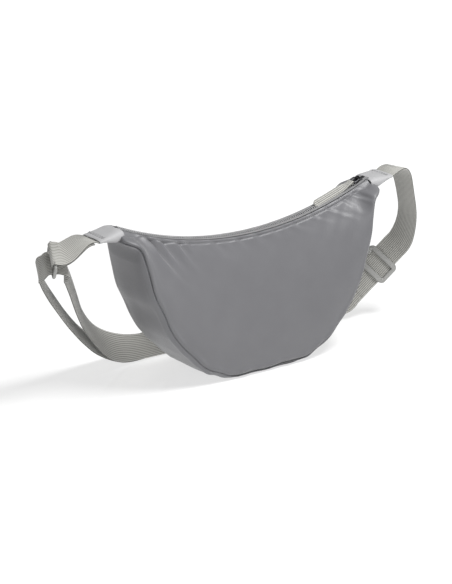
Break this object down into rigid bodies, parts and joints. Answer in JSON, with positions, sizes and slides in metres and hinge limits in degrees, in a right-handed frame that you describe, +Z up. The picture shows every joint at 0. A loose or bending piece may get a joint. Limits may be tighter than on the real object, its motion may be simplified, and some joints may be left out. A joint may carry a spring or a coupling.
{
  "type": "half-moon sling bag",
  "caption": "Soft crescent-shaped crossbody bag with a curved top zip, webbing zip pull, and a wide webbing strap with a sliding adjuster and rectangular strap ring.",
  "frame": {"origin": "on the floor under the middle of the bag, where its flat base rests", "axes": "+Z up, +X to the right seen from the front, +Y from the front panel to the back panel"},
  "size_m": [0.4959, 0.1337, 0.1864],
  "materials": {
    "bag_cloth": "smooth coated polyester with a soft sheen",
    "lining_cloth": "plain lining weave",
    "zip_tape": "woven tape with nylon coil",
    "zip_metal": "dark gunmetal",
    "webbing": "ribbed webbing",
    "strap_plastic": "matte moulded"
  },
  "bodies": {
    "bag": {"front_panel": "bag_cloth", "back_panel": "bag_cloth", "bottom_gusset": "bag_cloth", "front_lining": "lining_cloth", "back_lining": "lining_cloth", "gusset_lining": "lining_cloth", "inner_pocket": "lining_cloth", "front_seam_binding": "lining_cloth", "back_seam_binding": "lining_cloth", "front_zip_tape": "zip_tape", "back_zip_tape": "zip_tape", "front_zip_coil": "zip_tape", "back_zip_coil": "zip_tape", "zip_end_stops": "zip_metal", "left_anchor_tab": "bag_cloth", "right_anchor_tab": "bag_cloth", "left_webbing_end": "webbing", "right_webbing_end": "webbing"},
    "zip_slider": {"zip_slider": "zip_metal"},
    "zip_bail": {"zip_pull_bail": "zip_metal"},
    "zip_pull": {"zip_pull_tab": "webbing"},
    "strap": {"ring_webbing": "webbing", "strap_main_run": "webbing", "strap_return_run": "webbing"},
    "strap_ring": {"strap_ring": "strap_plastic"},
    "adjuster": {"strap_adjuster": "strap_plastic", "strap_sewn_end": "webbing"}
  },
  "joints": [
    {"name": "zip_travel", "type": "hinge", "parent": "bag", "child": "zip_slider", "pos_m": [0, 0, 0.55243], "axis": [0, 1, 0], "range_deg": [0, 44]},
    {"name": "pull_bail_hinge", "type": "hinge", "parent": "zip_slider", "child": "zip_bail", "pos_m": [0.15413, 0, 0.18058], "axis": [0, 1, 0], "range_deg": [0, 110]},
    {"name": "pull_tab_hinge", "type": "hinge", "parent": "zip_bail", "child": "zip_pull", "pos_m": [0.14627, 0, 0.17732], "axis": [0, 1, 0], "range_deg": [0, 62]},
    {"name": "strap_swing", "type": "hinge", "parent": "bag", "child": "strap", "pos_m": [0.19313, 0, 0.18], "axis": [0.9998, 0, 0.0181], "range_deg": [0, 165]},
    {"name": "strap_ring_tilt", "type": "hinge", "parent": "strap", "child": "strap_ring", "pos_m": [-0.235, 0.005, 0.163], "axis": [-0.3303, -0.7807, -0.5305], "range_deg": [-2, 2]},
    {"name": "adjuster_slide", "type": "slide", "parent": "strap", "child": "adjuster", "axis": [-0.6953, 0.2179, -0.6849], "range_m": [0, 0.03], "deforming": ["strap_return_run"]}
  ]
}
